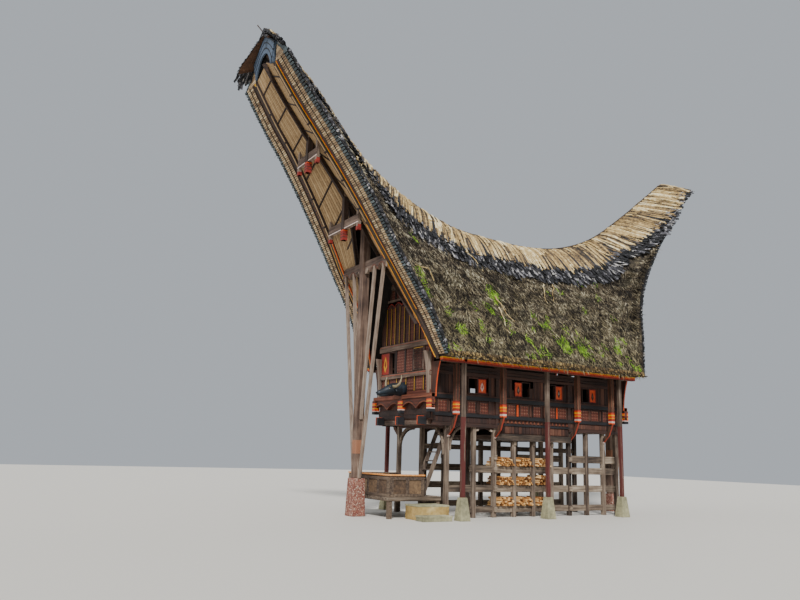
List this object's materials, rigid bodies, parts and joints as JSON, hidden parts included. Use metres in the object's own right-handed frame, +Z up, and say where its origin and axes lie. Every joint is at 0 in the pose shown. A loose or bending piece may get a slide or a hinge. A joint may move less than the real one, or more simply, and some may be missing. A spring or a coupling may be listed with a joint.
{
  "type": "tongkonan house",
  "caption": "Toraja tongkonan: a raised timber clan house under a long-horned saddle roof, carved and painted walls, great posts, and an entrance deck with steps.",
  "frame": {"origin": "ground level under the navel post, in the ridge plane of the house", "axes": "+Z up, -Y towards the entrance gable, +X towards the side with the steps"},
  "size_m": [5.94, 20.7, 16.5203],
  "materials": {
    "thatch": "weathered, mossy bamboo and palm thatch",
    "bamboo": "dry split bamboo laid across the ridge",
    "matting": "woven bamboo lining",
    "tip_board": "matt blue-grey paint on board",
    "trim": "yellow paint, worn",
    "carved_wood": "carved and painted red, black, white and yellow",
    "pale_wood": "pale grey planed wood",
    "black_horn": "black paint, pale horns",
    "concrete": "rough concrete, stained",
    "render": "red pebble render",
    "wood": "bare weathered wood"
  },
  "bodies": {
    "root": {"buffalo_head": "black_horn", "deck_railing": "wood", "entrance_deck": "wood", "entrance_stair": "wood", "front_apron": "carved_wood", "front_floor": "wood", "front_gable_peak": "carved_wood", "front_great_post": "wood", "front_lower_cross_beam": "wood", "front_pedestal": "render", "front_soffit": "matting", "front_tip_board": "tip_board", "front_upper_cross_beam": "wood", "front_wall": "carved_wood", "front_yoke": "pale_wood", "left_column_base_1": "concrete", "left_column_base_2": "concrete", "left_column_base_3": "concrete", "left_eave_column_1": "wood", "left_eave_column_2": "wood", "left_eave_column_3": "wood", "left_eave_frame": "wood", "left_front_barge_board": "trim", "left_post_frame": "wood", "left_rear_barge_board": "trim", "left_roof_thatch": "thatch", "left_wall": "carved_wood", "lower_step": "concrete", "middle_floor": "wood", "middle_post_row": "wood", "rear_apron": "carved_wood", "rear_floor": "wood", "rear_gable_peak": "carved_wood", "rear_great_post": "wood", "rear_lower_cross_beam": "wood", "rear_pedestal": "render", "rear_soffit": "matting", "rear_tip_board": "tip_board", "rear_upper_cross_beam": "wood", "rear_wall": "carved_wood", "rear_yoke": "pale_wood", "ridge_beam": "wood", "ridge_cap": "bamboo", "right_column_base_1": "concrete", "right_column_base_2": "concrete", "right_column_base_3": "concrete", "right_eave_column_1": "wood", "right_eave_column_2": "wood", "right_eave_column_3": "wood", "right_eave_frame": "wood", "right_front_barge_board": "trim", "right_post_frame": "wood", "right_rear_barge_board": "trim", "right_roof_thatch": "thatch", "right_wall": "carved_wood", "upper_step": "concrete"}
  },
  "joints": []
}
